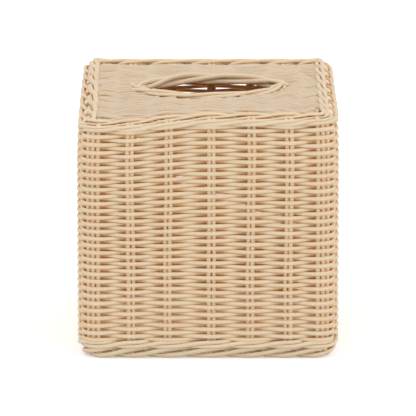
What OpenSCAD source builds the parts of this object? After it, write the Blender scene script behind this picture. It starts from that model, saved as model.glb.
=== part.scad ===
// Woven cane cover that stands mouth down over a cube of tissues.
// Pairs of stakes carry rows of plain weave. A twisted wale runs above and below the rows,
// a rope follows the top edge, a laid border closes the mouth and a rolled rim frames the slot.

/* [Cover] */
// Outside width from left to right, over the weave
cover_w = 146; // [126:1:200]
// Outside depth from front to back, over the weave
cover_d = 146; // [126:1:200]
// Height from the table to the top of the edge rope
cover_h = 141; // [90:1:200]
// Outside radius of the four upright corners
corner_r = 12; // [11:0.5:20]

/* [Stakes] */
// Diameter of one stake rod
stake_d = 2.2; // [1.6:0.1:2.6]
// Gap between the two rods of a pair
pair_gap = 0.4; // [0.2:0.1:0.8]
// Bend radius of a stake's centre line where the wall turns into the top
bend_r = 2.2; // [2:0.1:3]

/* [Weave] */
// Thickness of a weaving cane, through the wall
cane_t = 1.9; // [1.5:0.1:2.4]
// Width of a weaving cane, along the stakes; the rows are spread to fill their space
cane_h = 2.07; // [1.6:0.01:3]
// Clear gap between pieces that lie against each other
lay_gap = 0.1; // [0.06:0.02:0.16]

/* [Wales and edge rope] */
// Diameter of one rod of the wales and of the edge rope
wale_rod_d = 2.2; // [1.8:0.1:2.5]
// Distance from the end of the stakes' bend in to the middle of the edge rope
edge_step = 1.1; // [0.9:0.1:1.8]

/* [Border] */
// Diameter of one rod of the border
border_rod_d = 2.9; // [2:0.1:3.4]
// Height of the flat that wear gives the border where it stands
foot_cut = 0.5; // [0.3:0.1:0.8]

/* [Slot] */
// Length of the slot inside its rim, left to right
slot_l = 79; // [60:1:90]
// Width of the slot inside its rim, front to back
slot_w = 43; // [30:1:60]
// Diameter of one rod of the rim
rim_rod_d = 2.4; // [1.8:0.1:3]
// Height of the rim's middle over the middle of the top's weave
rim_rise = 2.4; // [1.6:0.1:3.4]

/* [Hidden] */
cane_colour = [0.90, 0.80, 0.65];
pale_colour = [0.94, 0.87, 0.74];
stake_colour = [0.84, 0.71, 0.53];
rope_colour = [0.88, 0.77, 0.60];
$fn = 24;

// Places of the stakes along a side, as shares of the half length that they are spread over
stake_place_shares = [-1, -0.733, -0.377, 0, 0.377, 0.733, 1];
per_side = len(stake_place_shares);
sides = 4;
stations = per_side * sides;
quarter = 360 / sides;

// How far a wale's rod swings past its place beside a stake
bulge_share = 1.05;
// How much the slot's ends are drawn in towards a point
slot_point_share = 0.2;
rods_in_rope = 3;
rod_turn = 360 / rods_in_rope;
rim_turns = 4;
rim_steps = 54;
// Flats round a rope's rod, and round a border's, of which one lies level
rod_sides = 5;
border_sides = 6;
// Steps in which a rope crosses a gap between stakes, in which canes and ropes turn a corner,
// and in which they pass a fan of corner stakes
rope_steps = 2;
corner_steps = 2;
fan_steps = 3;
// Short stakes that fan out beside the last stake at each end of the front and back
fan_stakes = 2;
// The station at the back where the ends of the wales and of the edge rope meet
rope_joint = 16;
side_groups = 14;
// How much thicker a stake is in its bend, and how far its straight legs run into the bend
bend_share = 1.04;
bend_overlap_share = 0.1;
// How much wider a rope's lay is than its rods need
lay_share = 1.06;
// Where a rod of the border changes direction between two stations
border_stop_shares = [0, 1 / 3, 2 / 3];

// A cane slopes by sway_slope between two stations, so it swings wide enough to clear a pair's rods
least_gap_share = min([for (place = [0:per_side - 2])
    stake_place_shares[place + 1] - stake_place_shares[place]]);
clear_r = stake_d / 2 + lay_gap;
rod_step = stake_d + pair_gap;
rod_offset = rod_step / 2;
pair_reach = rod_offset + clear_r;
fan_reach = fan_stakes * rod_step + clear_r;
least_gap = least_gap_share * (min(cover_w, cover_d) / 2 - corner_r - pair_reach);
sway_slope = (2 * clear_r + cane_t) / (least_gap - 2 * rod_offset);
weave_swing = clear_r * sqrt(1 + sway_slope * sway_slope) + rod_offset * sway_slope + cane_t / 2;
wall_t = 2 * weave_swing + cane_t;
mid_r = corner_r - wall_t / 2;
row_pitch_wanted = cane_h + lay_gap;

// A wale's rod lies this far to either side of the stakes, and this far above or below
wale_reach = (stake_d + wale_rod_d) / 2 + lay_gap;
wale_rise = lay_share * (wale_rod_d + lay_gap) / sqrt(rods_in_rope);
wale_half = wale_rise + wale_rod_d / 2;

border_lay_r = lay_share * (border_rod_d + lay_gap) / sqrt(rods_in_rope);
border_half = border_lay_r + border_rod_d / 2;
border_z = border_half - foot_cut;
border_top = border_z + border_half;
stake_foot_z = border_top + lay_gap;
low_wale_z = border_top + lay_gap + wale_half;

top_z = cover_h - bulge_share * wale_reach - wale_rod_d / 2;
edge_inset = bend_r + edge_step;
edge_inner = edge_inset + wale_half;
row_end_inset = edge_inner + lay_gap;
high_wale_z = top_z - wale_reach - wale_rod_d - lay_gap;
corner_stake_top_z = top_z - bulge_share * wale_reach - wale_rod_d / 2 - lay_gap;

rows_from_z = low_wale_z + wale_half + lay_gap;
rows_to_z = high_wale_z - wale_half - lay_gap;
row_count = round((rows_to_z - rows_from_z + lay_gap) / row_pitch_wanted);
row_pitch = (rows_to_z - rows_from_z + lay_gap) / row_count;
row_h = row_pitch - lay_gap;

rim_lay_r = lay_share * (rim_rod_d + lay_gap) / sqrt(rods_in_rope);
rim_half = rim_lay_r + rim_rod_d / 2;
rim_a = slot_l / 2 + rim_half;
rim_b = slot_w / 2 + rim_half;
rim_z = top_z + rim_rise;
edge_table_step = 5;

// Half length of a side's straight run, and of the part of it that its stakes are spread over:
// the last stakes of the front and back stand where the rounding starts, and fan out on it
function run_half(side) = (side % 2 == 0 ? cover_w : cover_d) / 2 - corner_r;
function place_half(side) = run_half(side) - (side % 2 == 0 ? 0 : pair_reach);
// Distance out to a side's stakes
function stake_out(side) = (side % 2 == 0 ? cover_d : cover_w) / 2 - wall_t / 2;
mid_x = stake_out(1);
mid_y = stake_out(0);

top_row_span = 2 * (mid_y - row_end_inset) + lay_gap;
top_row_count = round(top_row_span / row_pitch_wanted);
top_row_pitch = top_row_span / top_row_count;
top_row_h = top_row_pitch - lay_gap;

function clamped(value, low, high) = max(low, min(high, value));
function blend(from, to, share) = from + (to - from) * share;
function turned(point, angle) =
    [point.x * cos(angle) - point.y * sin(angle), point.x * sin(angle) + point.y * cos(angle)];
function at_corner(gap_no) = gap_no % per_side == per_side - 1;
function side_of(number) = floor(number / per_side) % sides;
function before(number) = (number + stations - 1) % stations;
function after(number) = (number + 1) % stations;

// A fan stands past the last station of the front and back, and before their first
function fan_after(station) = side_of(station) % 2 == 0 && at_corner(station);
function fan_before(station) = side_of(station) % 2 == 0 && at_corner(before(station));

// How far past a station, and before it, canes and rods stay level beside the stakes
function reach_after(station) =
    fan_after(station) ? fan_reach : fan_before(station) ? clear_r : pair_reach;
function reach_before(station) =
    fan_before(station) ? fan_reach : fan_after(station) ? clear_r : pair_reach;

// Straight stretch between a side's last stakes and its rounding
function end_run(side) = run_half(side) - place_half(side);

// Length of the stakes' line from station gap_no to the next one
function gap_length(gap_no) =
    let (side = side_of(gap_no), place = gap_no % per_side)
    at_corner(gap_no)
        ? end_run(side) + PI / 2 * mid_r + end_run(side + 1)
        : (stake_place_shares[place + 1] - stake_place_shares[place]) * place_half(side);

// Share of a gap at which a line leaves the level stretch beside one station's stakes, the share
// at which it reaches the next station's, and its progress from the one to the other
function leaves_share(gap_no) = reach_after(gap_no) / gap_length(gap_no);
function reaches_share(gap_no) = 1 - reach_before(after(gap_no)) / gap_length(gap_no);
function progress(gap_no, share) =
    clamped((share - leaves_share(gap_no)) / (reaches_share(gap_no) - leaves_share(gap_no)), 0, 1);

// A point of the ring that stakes stand on, share of the way along gap_no, and out from it
function ring_point(gap_no, share, out) =
    let (
        side = side_of(gap_no),
        place = gap_no % per_side,
        along = share * gap_length(gap_no),
        left = (1 - share) * gap_length(gap_no),
        turn = clamped((along - end_run(side)) / (PI / 2 * mid_r), 0, 1) * quarter,
        local = at_corner(gap_no)
            ? [place_half(side) + min(along, end_run(side)) + (mid_r + out) * sin(turn),
               max(0, end_run(side + 1) - left) + mid_r - stake_out(side) - (mid_r + out) * cos(turn)]
            : [place_half(side) * blend(stake_place_shares[place], stake_place_shares[place + 1], share),
               -stake_out(side) - out]
    )
    turned(local, quarter * side);

// Stops of a rope along a gap, with more of them where it passes a fan on the rounding
function stops(gap_no) =
    let (
        first = leaves_share(gap_no),
        last = reaches_share(gap_no),
        steps = at_corner(gap_no) ? corner_steps : rope_steps
    )
    concat(
        [if (fan_after(gap_no)) for (step = [0:fan_steps - 1]) first * step / fan_steps],
        [for (step = [0:steps]) blend(first, last, step / steps)],
        [if (fan_before(after(gap_no))) for (step = [1:fan_steps - 1]) blend(last, 1, step / fan_steps)]
    );

// A row of weave runs straight from one station to the next, and bends with the corners
function row_stops(gap_no) =
    at_corner(gap_no) ? concat(fan_after(gap_no) ? [] : [0], stops(gap_no)) : [0];

// A rope's stops all the way round from its joint at the back: how many gaps on, which gap, and where
rope_stops = [
    for (passed = [0:stations - 1])
        let (gap_no = (rope_joint + passed) % stations)
        for (share = concat(passed == 0 ? [0] : [], stops(gap_no), passed == stations - 1 ? [1] : []))
            [passed, gap_no, share]
];

function parity(number) = number % 2 == 0 ? 1 : -1;

// One edge of a row of weave: out is half the cane's thickness, or minus half
function row_edge(row, out) = [
    for (gap_no = [0:stations - 1])
        for (share = row_stops(gap_no))
            ring_point(gap_no, share,
                parity(gap_no + row) * weave_swing * (1 - 2 * progress(gap_no, share)) + out)
];

// Faces that join rings of points into a tube; a closed tube has no ends
function tube_faces(rings, around, closed) = concat(
    [for (ring = [0:rings - (closed ? 1 : 2)])
        for (side = [0:around - 1])
            let (
                next = (side + 1) % around,
                ahead = (ring + 1) % rings
            )
            [ring * around + side, ring * around + next, ahead * around + next, ahead * around + side]],
    closed ? [] : [
        [for (side = [around - 1:-1:0]) side],
        [for (side = [0:around - 1]) (rings - 1) * around + side]
    ]
);

// Where a wale's rod is when its lay has turned by angle: to and fro past the stakes, and across
function wale_to(angle) = wale_reach * min(bulge_share, (4 * cos(angle) + 1) / 3);
function wale_across(angle) = wale_rise * sin(angle);
function lay_angle(stop, rod) = 180 + rod_turn * (stop[0] + progress(stop[1], stop[2]) - rod);

// A ring of a rod's section that faces along the wall, round a point out and up from the stakes' line
function wall_section(gap_no, share, out, up, rod_r, flats = rod_sides) = [
    for (corner = [0:flats - 1])
        let (
            angle = 360 * corner / flats,
            place = ring_point(gap_no, share, out + rod_r * cos(angle))
        )
        [place.x, place.y, max(0, up + rod_r * sin(angle))]
];

// One rod of a wale round the upright stakes, all the way round the cover
module wale_rod(rod, z) {
    rings = [
        for (stop = rope_stops)
            let (angle = lay_angle(stop, rod))
            wall_section(stop[1], stop[2], wale_to(angle), z + wale_across(angle), wale_rod_d / 2)
    ];
    rod_from_rings(rings);
}

// One rod of the rope that lies over and under the level ends of the stakes
module edge_rod(rod) {
    rings = [
        for (stop = rope_stops)
            let (angle = lay_angle(stop, rod))
            wall_section(stop[1], stop[2], -edge_inset - wale_across(angle),
                top_z + wale_to(angle), wale_rod_d / 2)
    ];
    rod_from_rings(rings);
}

// An open run of rings, less half a lay gap at its two ends, as one solid
module rod_from_rings(rings) {
    last = len(rings) - 1;
    start = pulled_back(rings[0], rings[1]);
    end = pulled_back(rings[last], rings[last - 1]);
    run = concat([start], [for (ring = [1:last - 1]) rings[ring]], [end]);
    polyhedron([for (ring = run) each ring], tube_faces(len(run), len(start), false), convexity = 8);
}
function pulled_back(ring, towards) =
    let (whole = norm(towards[0] - ring[0]))
    [for (corner = [0:len(ring) - 1]) blend(ring[corner], towards[corner], lay_gap / whole)];

// One laid rod of the border, from inside the wall, out under two gaps and back in
module border_rod(first) {
    rings = [
        for (turn = [0:rods_in_rope - 1])
            for (share = concat(border_stop_shares, turn == rods_in_rope - 1 ? [1] : []))
                let (angle = 180 + rod_turn * (turn + share))
                wall_section((first + turn) % stations, share, border_lay_r * cos(angle),
                    border_z + border_lay_r * sin(angle), border_rod_d / 2, border_sides)
    ];
    rod_from_rings(rings);
}

// The middle of the rim, and its way outwards in plan
function rim_point(angle) =
    [rim_a * cos(angle), rim_b * sin(angle) * (1 - slot_point_share * cos(angle) * cos(angle))];
function rim_outwards(angle) =
    let (
        along_y = rim_b * cos(angle)
            * (1 - slot_point_share * cos(angle) * cos(angle) + 2 * slot_point_share * sin(angle) * sin(angle)),
        across = [along_y, rim_a * sin(angle)]
    )
    across / norm(across);

module rim_rod(rod) {
    rings = [
        for (step = [0:rim_steps - 1])
            let (
                angle = 360 * step / rim_steps,
                lay = rim_turns * angle + rod_turn * rod,
                outwards = rim_outwards(angle),
                middle = rim_point(angle)
            )
            [for (corner = [0:rod_sides - 1])
                let (
                    around = 360 * corner / rod_sides,
                    out = rim_lay_r * cos(lay) + rim_rod_d / 2 * cos(around),
                    up = rim_lay_r * sin(lay) + rim_rod_d / 2 * sin(around),
                    place = middle + outwards * out
                )
                [place.x, place.y, rim_z + up]]
    ];
    polyhedron([for (ring = rings) each ring], tube_faces(rim_steps, rod_sides, true), convexity = 8);
}

// The line just outside the rim, where canes and stakes stop, as tables to look places up in
function rim_clear(angle) = rim_point(angle) + rim_outwards(angle) * (rim_half + lay_gap);
clear_points = [for (angle = [0:edge_table_step:90]) rim_clear(angle)];
clear_y_of_x = [for (point = clear_points) [point.x, point.y]];
clear_x_of_y = [for (point = clear_points) [point.y, point.x]];
clear_half_l = clear_points[0].x;
clear_half_w = clear_points[len(clear_points) - 1].y;

// One straight and bent rod of the wall: upright, bend and level leg, on the front side
module bent_rod(x, y_out, level_end) {
    overlap = bend_overlap_share * stake_d;
    translate([x, -y_out, stake_foot_z])
        cylinder(d = stake_d, h = top_z - bend_r + overlap - stake_foot_z);
    translate([x, bend_r - y_out, top_z - bend_r])
        rotate([90, 0, -90])
            rotate_extrude(angle = 90) translate([bend_r, 0]) circle(d = bend_share * stake_d);
    translate([x, bend_r - y_out - overlap, top_z])
        rotate([-90, 0, 0]) cylinder(d = stake_d, h = level_end + y_out - bend_r + overlap);
}

// Where a stake stands in plan, along the ring from its station
function stake_place(station, along) =
    along < 0
        ? ring_point(before(station), 1 + along / gap_length(before(station)), 0)
        : ring_point(station, along / gap_length(station), 0);

// A stake that climbs the front, crosses the top and goes down the back, cut where it meets the rim
module long_stake(foot) {
    near_x = max(0, abs(foot.x) - stake_d / 2);
    stop_y = near_x < clear_half_l ? -lookup(near_x, clear_y_of_x) : 0;
    bent_rod(foot.x, -foot.y, stop_y);
    mirror([0, 1, 0]) bent_rod(foot.x, -foot.y, stop_y);
}

module long_stake_pair(place) {
    for (hand = [-1, 1]) long_stake(stake_place(place, hand * rod_offset));
}

// A pair of a side wall, whose level legs carry the edge rope
module side_stake_pair(side, place) {
    for (hand = [-1, 1]) {
        foot = turned(stake_place(side * per_side + place, hand * rod_offset), -quarter * side);
        rotate([0, 0, quarter * side]) bent_rod(foot.x, -foot.y, edge_inner - stake_out(side));
    }
}

// Short stakes that fan out on the rounding beside a last stake, and end under the edge rope
module corner_stakes(station) {
    for (step = [1:fan_stakes]) {
        foot = stake_place(station, (fan_after(station) ? step : -step) * rod_step);
        translate([foot.x, foot.y, stake_foot_z]) cylinder(d = stake_d, h = corner_stake_top_z - stake_foot_z);
    }
}

module side_row(row) {
    outer = row_edge(row, cane_t / 2);
    inner = row_edge(row, -cane_t / 2);
    translate([0, 0, rows_from_z + row * row_pitch])
        linear_extrude(row_h)
            difference() {
                polygon(outer);
                polygon(inner);
            }
}

module side_rows(group) {
    for (row = [floor(group * row_count / side_groups):floor((group + 1) * row_count / side_groups) - 1])
        side_row(row);
}

// Height of a cane of the top over the top's middle, at x along the row
stake_x = [for (share = stake_place_shares) share * place_half(0)];
function top_sway(x, row) =
    let (
        passed = len([for (place = stake_x) if (place <= x) place]),
        left = clamped(passed - 1, 0, per_side - 2),
        gap = stake_x[left + 1] - stake_x[left],
        way = clamped((x - stake_x[left]) / gap, 0, 1)
    )
    parity(left + row) * weave_swing * (1 - 2 * way);

// One cane of the top from x_from to x_to, with its near edge at y
module top_cane(row, x_from, x_to) {
    places = concat([x_from], [for (x = stake_x) if (x > x_from + lay_gap && x < x_to - lay_gap) x], [x_to]);
    upper = [for (x = places) [x, top_sway(x, row) + cane_t / 2]];
    lower = [for (at = [len(places) - 1:-1:0]) [places[at], top_sway(places[at], row) - cane_t / 2]];
    translate([0, top_row_y(row) + top_row_h, top_z])
        rotate([90, 0, 0])
            linear_extrude(top_row_h)
                polygon(concat(upper, lower));
}
function top_row_y(row) = row_end_inset - mid_y + row * top_row_pitch;

// Least and greatest distance of a row of the top from the middle of the cover
function row_near_y(row) =
    let (y = top_row_y(row))
    y <= 0 && y + top_row_h >= 0 ? 0 : min(abs(y), abs(y + top_row_h));
function row_far_y(row) = max(abs(top_row_y(row)), abs(top_row_y(row) + top_row_h));

// Where a row stops at the edge rope, which rounds the corners
function row_end_x(row) =
    let (
        past = row_far_y(row) - run_half(1),
        inner_r = mid_r - row_end_inset
    )
    past <= 0 ? mid_x - row_end_inset : run_half(0) + sqrt(max(0, inner_r * inner_r - past * past));

module top_rows(hand) {
    for (row = [0:top_row_count - 1])
        if (row_near_y(row) >= clear_half_w && hand * top_row_y(row) > 0)
            top_cane(row, -row_end_x(row), row_end_x(row));
}

module slot_rows(hand) {
    for (row = [0:top_row_count - 1])
        if (row_near_y(row) < clear_half_w) {
            stop_x = lookup(row_near_y(row), clear_x_of_y);
            if (hand < 0) top_cane(row, -row_end_x(row), -stop_x);
            else top_cane(row, stop_x, row_end_x(row));
        }
}

module border_side(side) {
    for (place = [0:per_side - 1]) border_rod(side * per_side + place);
}

long_pairs = [1:per_side - 2];
places = [1:per_side];
rods = [1:rods_in_rope];
groups = [1:side_groups];
side_names = ["front", "right", "back", "left"];
corners = [
    ["front_left", 0],
    ["front_right", per_side - 1],
    ["back_right", 2 * per_side],
    ["back_left", 3 * per_side - 1]
];

color(stake_colour) long_stake(stake_place(0, 0));  // long_stake_left
color(stake_colour) long_stake(stake_place(per_side - 1, 0));  // long_stake_right
for (pair = long_pairs)
    color(stake_colour) long_stake_pair(pair);
for (corner = corners)
    color(stake_colour) corner_stakes(corner[1]);
for (place = places) {
    color(stake_colour) side_stake_pair(1, place - 1);
    color(stake_colour) side_stake_pair(3, place - 1);
}
for (group = groups)
    color(cane_colour) side_rows(group - 1);
color(pale_colour) top_rows(-1);  // top_rows_front
color(pale_colour) top_rows(1);  // top_rows_back
color(pale_colour) slot_rows(-1);  // slot_rows_left
color(pale_colour) slot_rows(1);  // slot_rows_right
for (rod = rods) {
    color(rope_colour) edge_rod(rod - 1);
    color(rope_colour) wale_rod(rod - 1, high_wale_z);
    color(rope_colour) wale_rod(rod - 1, low_wale_z);
    color(pale_colour) rim_rod(rod - 1);
}
for (side = [0:sides - 1])
    color(rope_colour) border_side(side);
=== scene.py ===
"""Looks of a tissue box cover woven from round cane, built round its CAD model.

Lengths in this file are millimetres until a mesh is written, which is in metres. Stations number the
places of the stakes round the cover, from the left end of the front by way of the right wall.
"""

import logging
import math
from dataclasses import dataclass, field
from enum import Enum
from typing import ClassVar

import bmesh
import bpy
import numpy as np
from mathutils import Matrix, Vector


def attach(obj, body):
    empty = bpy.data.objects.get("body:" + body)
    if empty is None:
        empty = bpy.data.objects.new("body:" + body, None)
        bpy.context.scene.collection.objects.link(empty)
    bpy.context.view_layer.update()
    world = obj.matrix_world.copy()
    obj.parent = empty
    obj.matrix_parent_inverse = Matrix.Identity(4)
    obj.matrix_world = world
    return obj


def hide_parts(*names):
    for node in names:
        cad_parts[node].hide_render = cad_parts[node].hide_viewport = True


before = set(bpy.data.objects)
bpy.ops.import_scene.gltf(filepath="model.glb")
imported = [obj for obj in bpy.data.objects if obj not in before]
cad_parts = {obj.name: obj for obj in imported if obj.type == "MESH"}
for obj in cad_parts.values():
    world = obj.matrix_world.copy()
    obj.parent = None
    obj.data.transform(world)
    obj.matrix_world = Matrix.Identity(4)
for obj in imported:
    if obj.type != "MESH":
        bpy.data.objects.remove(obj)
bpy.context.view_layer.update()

LOG = logging.getLogger("woven_cover")
MM = 0.001
SIDES = 4
PER_SIDE = 7
STATIONS = SIDES * PER_SIDE
UV_NAME = "fibre"
TONE_NAME = "tone"
# Attribute of each point's painted shade, from 0 in the open to 1
PAINTED_SHADE_NAME = "depth"
MERGE_DISTANCE = 2e-6
DISSOLVE_DISTANCE = MERGE_DISTANCE / 10
# A place as x, y and z
Place = tuple[float, float, float]
SIDE_NAMES = ("front", "right", "back", "left")
FULL_TURN = 2 * math.pi
UPWARDS = np.array([0.0, 0.0, 1.0])
# Turns of the directions along and across a wall, for the front, right, back and left
SIDE_COS, SIDE_SIN = np.array([1, 0, -1, 0]), np.array([0, 1, 0, -1])
# A rope's three rods follow each other by a third of a turn
ROPE_RODS = 3
ROPE_TURN = FULL_TURN / ROPE_RODS
# Rings of a rod's rounded end, as shares of the end's length
END_RINGS = np.array([0.0, 0.12, 0.45])
# Numbers of the Mix node's sockets, whose names it uses more than once
MIX_SHARE, MIX_NUMBERS, MIX_COLOURS, MIX_NUMBER, MIX_COLOUR = 0, (2, 3), (6, 7), 0, 2


class Slot(Enum):
    """Material slots of the record that the pieces take their finish from."""

    WEAVE = "weave_cane"
    TOP = "top_cane"
    STAKE = "stake_cane"
    ROPE = "rope_cane"


@dataclass(frozen=True)
class CoverSizes:
    """Sizes of the cover, as its CAD source has them, and what follows from them."""

    outside: float = 146.0
    corner_r: float = 12.0
    stake_r: float = 1.3
    stake_forward: float = 0.35
    rod_step: float = 2.68
    bend_r: float = 2.2
    wall_t: float = 7.186
    swing: float = 1.95
    weave_out: float = 0.52
    cane_half_t: float = 1.15
    row_count: int = 58
    row_pitch: float = 2.1275
    rows_from_z: float = 9.93
    top_z: float = 137.485
    top_row_count: int = 59
    top_row_pitch: float = 2.15421
    top_swing: float = 0.65
    top_lift: float = 1.0
    edge_inset: float = 2.3
    side_inset: float = 2.1
    edge_inner: float = 5.808
    rope_reach: float = 2.2
    rope_rise: float = 1.408
    high_wale_z: float = 135.5
    high_wale_share: float = 0.85
    low_wale_z: float = 8.6795
    border_lay_r: float = 1.95
    border_z: float = 3.55
    border_rise: float = 2.25
    rim_a: float = 42.23
    rim_b: float = 24.23
    rim_z: float = 139.885
    rim_lay_r: float = 1.6
    rim_point_share: float = 0.2
    fan_stakes: int = 2
    corner_stake_top_z: float = 133.87
    stake_foot_z: float = 3.6

    @property
    def stake_out(self) -> float:
        """Distance from the middle of the cover to a wall's stakes."""
        return self.outside / 2 - self.wall_t / 2

    @property
    def mid_r(self) -> float:
        """Radius of the stakes' line at a corner."""
        return self.corner_r - self.wall_t / 2

    @property
    def run_half(self) -> float:
        """Half length of a wall's straight run."""
        return self.outside / 2 - self.corner_r


@dataclass(frozen=True)
class Fade:
    """A change from 0 at one place to 1 at another, with soft ends."""

    low: float
    high: float

    def at(self, value: np.ndarray) -> np.ndarray:
        """Share that the change has reached at each value."""
        share = np.clip((value - self.low) / (self.high - self.low), 0.0, 1.0)
        return share * share * (3.0 - 2.0 * share)


@dataclass(frozen=True)
class Wave:
    """A low wave along a run."""

    height: float
    length: float
    shift: float = 1.0

    def at(self, along: np.ndarray, place: np.ndarray | float) -> np.ndarray:
        """Heights along the run, where place moves the wave on by its shift."""
        return self.height * np.sin(along / self.length + place * self.shift)


# How far a cane of the weave has dived behind the stakes, by how far it sways inwards, which sets the
# painted shade there
DIVE_SHADE = Fade(-0.1, 0.9)
# Squareness of a woven cane's section, from 1, round, towards 0, square
WOVEN_SQUARENESS = 0.92
# Spread of the rods' and canes' thickness
FAT_SPREAD = 0.02


def cane_slope(share: np.ndarray) -> np.ndarray:
    """How a cane passes from one side of the stakes, at 1, to the other, at -1, across a gap."""
    stiff = 0.55
    return (1.0 - stiff) * np.cos(math.pi * share) + stiff * (1.0 - 2.0 * share)


class StakeRing:
    """The closed line round the walls on which the stakes stand."""

    SHARES = (-1.0, -0.733, -0.377, 0.0, 0.377, 0.733, 1.0)
    # How much nearer to the middle the side walls' outer stakes stand
    SIDE_DRAW = 2.5
    # How far the front's and back's stakes stand to the right of their even places, and each wall's sign
    LEAN = 1.9
    LEAN_SIGNS = (1.0, 0.0, -1.0, 0.0)
    # How far a cane stays level beside a pair of stakes, and past the last rod of a corner's fan
    PLAIN_LEVEL = 0.5
    PAST_LAST_ROD = 0.4
    ROPE_PAST_LAST_ROD = -0.8
    # How much a rope's twist slows beside the stakes
    LAY_EASE = 0.45

    def __init__(self, sizes: CoverSizes) -> None:
        """Sets out the stations.

        Args:
            sizes: The cover's sizes.
        """
        self.sizes = sizes
        half = (sizes.run_half, sizes.run_half - self.SIDE_DRAW)
        shares = np.array(self.SHARES)
        lean = self.LEAN * (1.0 - shares ** 2)
        self.local = np.array([
            shares * half[side % 2] + sign * lean for side, sign in enumerate(self.LEAN_SIGNS)
        ])
        lengths = []
        for station in range(STATIONS):
            side, place = divmod(station, PER_SIDE)
            if place < PER_SIDE - 1:
                lengths.append(self.local[side, place + 1] - self.local[side, place])
            else:
                ahead = (side + 1) % SIDES
                lengths.append(
                    sizes.run_half - self.local[side, place]
                    + math.pi / 2 * sizes.mid_r
                    + sizes.run_half + self.local[ahead, 0]
                )
        self.lengths = np.array(lengths)

    def point(self, stations: np.ndarray, out: np.ndarray) -> np.ndarray:
        """Places in plan along the ring.

        Args:
            stations: Where along the ring, in stations.
            out: Distance outwards from the stakes' line.

        Returns:
            One row of x and y for each place.
        """
        sizes = self.sizes
        stations = np.asarray(stations, float)
        gap = np.floor(stations).astype(int) % STATIONS
        share = stations - np.floor(stations)
        side, place = gap // PER_SIDE, gap % PER_SIDE
        corner = place == PER_SIDE - 1
        ahead = np.where(corner, 0, place + 1)
        start = self.local[side, place]
        straight_x = start + (self.local[side, ahead] - start) * share
        along = share * self.lengths[gap]
        left = (1.0 - share) * self.lengths[gap]
        end_run = sizes.run_half - start
        next_run = sizes.run_half + self.local[(side + 1) % SIDES, 0]
        turn = np.clip((along - end_run) / (math.pi / 2 * sizes.mid_r), 0.0, 1.0) * math.pi / 2
        reach = sizes.mid_r + out
        corner_x = start + np.minimum(along, end_run) + reach * np.sin(turn)
        corner_y = (
            np.maximum(0.0, next_run - left) + sizes.mid_r - sizes.stake_out - reach * np.cos(turn)
        )
        x = np.where(corner, corner_x, straight_x)
        y = np.where(corner, corner_y, -sizes.stake_out - out)
        cos, sin = SIDE_COS[side], SIDE_SIN[side]
        return np.stack([x * cos - y * sin, x * sin + y * cos], axis=1)

    def levels(self, gap: np.ndarray, beyond: float) -> tuple[np.ndarray, np.ndarray]:
        """Shares of a gap at which a cane leaves one station's rods and reaches the next one's.

        Args:
            gap: Numbers of the gaps.
            beyond: How far past the last rod's middle the cane stays level.

        Returns:
            The first and the last share of the bending part.
        """
        sizes = self.sizes
        fan = sizes.fan_stakes * sizes.rod_step + beyond
        at_end = gap % PER_SIDE == PER_SIDE - 1
        even_side = (gap // PER_SIDE) % 2 == 0
        first = np.where(at_end & even_side, fan, self.PLAIN_LEVEL)
        last = np.where(at_end & ~even_side, fan, self.PLAIN_LEVEL)
        return first / self.lengths[gap], 1.0 - last / self.lengths[gap]

    def sway(self, stations: np.ndarray, row: int) -> np.ndarray:
        """How far outside, at 1, or inside, at -1, a row's cane is.

        Args:
            stations: Where along the ring, in stations.
            row: Number of the row, counted upwards.

        Returns:
            Values from -1 to 1.
        """
        whole = np.floor(stations).astype(int)
        gap = whole % STATIONS
        first, last = self.levels(gap, self.PAST_LAST_ROD)
        share = np.clip((stations - whole - first) / (last - first), 0.0, 1.0)
        sign = np.where((gap + row) % 2 == 0, 1.0, -1.0)
        return sign * cane_slope(share)

    def lay(self, stations: np.ndarray) -> np.ndarray:
        """Progress of a rope's twist, slower where the rope passes the stakes.

        Args:
            stations: Where along the ring, in stations.

        Returns:
            How many gaps' worth of twist the rope has made at each place.
        """
        whole = np.floor(stations).astype(int)
        first, last = self.levels(whole % STATIONS, self.ROPE_PAST_LAST_ROD)
        share = np.clip((stations - whole - first) / (last - first), 0.0, 1.0)
        return whole + share - self.LAY_EASE * np.sin(FULL_TURN * share) / FULL_TURN

    def samples(self, start: float, stop: float, steps: int) -> np.ndarray:
        """Even places from one station to another, with steps in each gap."""
        return np.linspace(start, stop, int(round((stop - start) * steps)) + 1)


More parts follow.
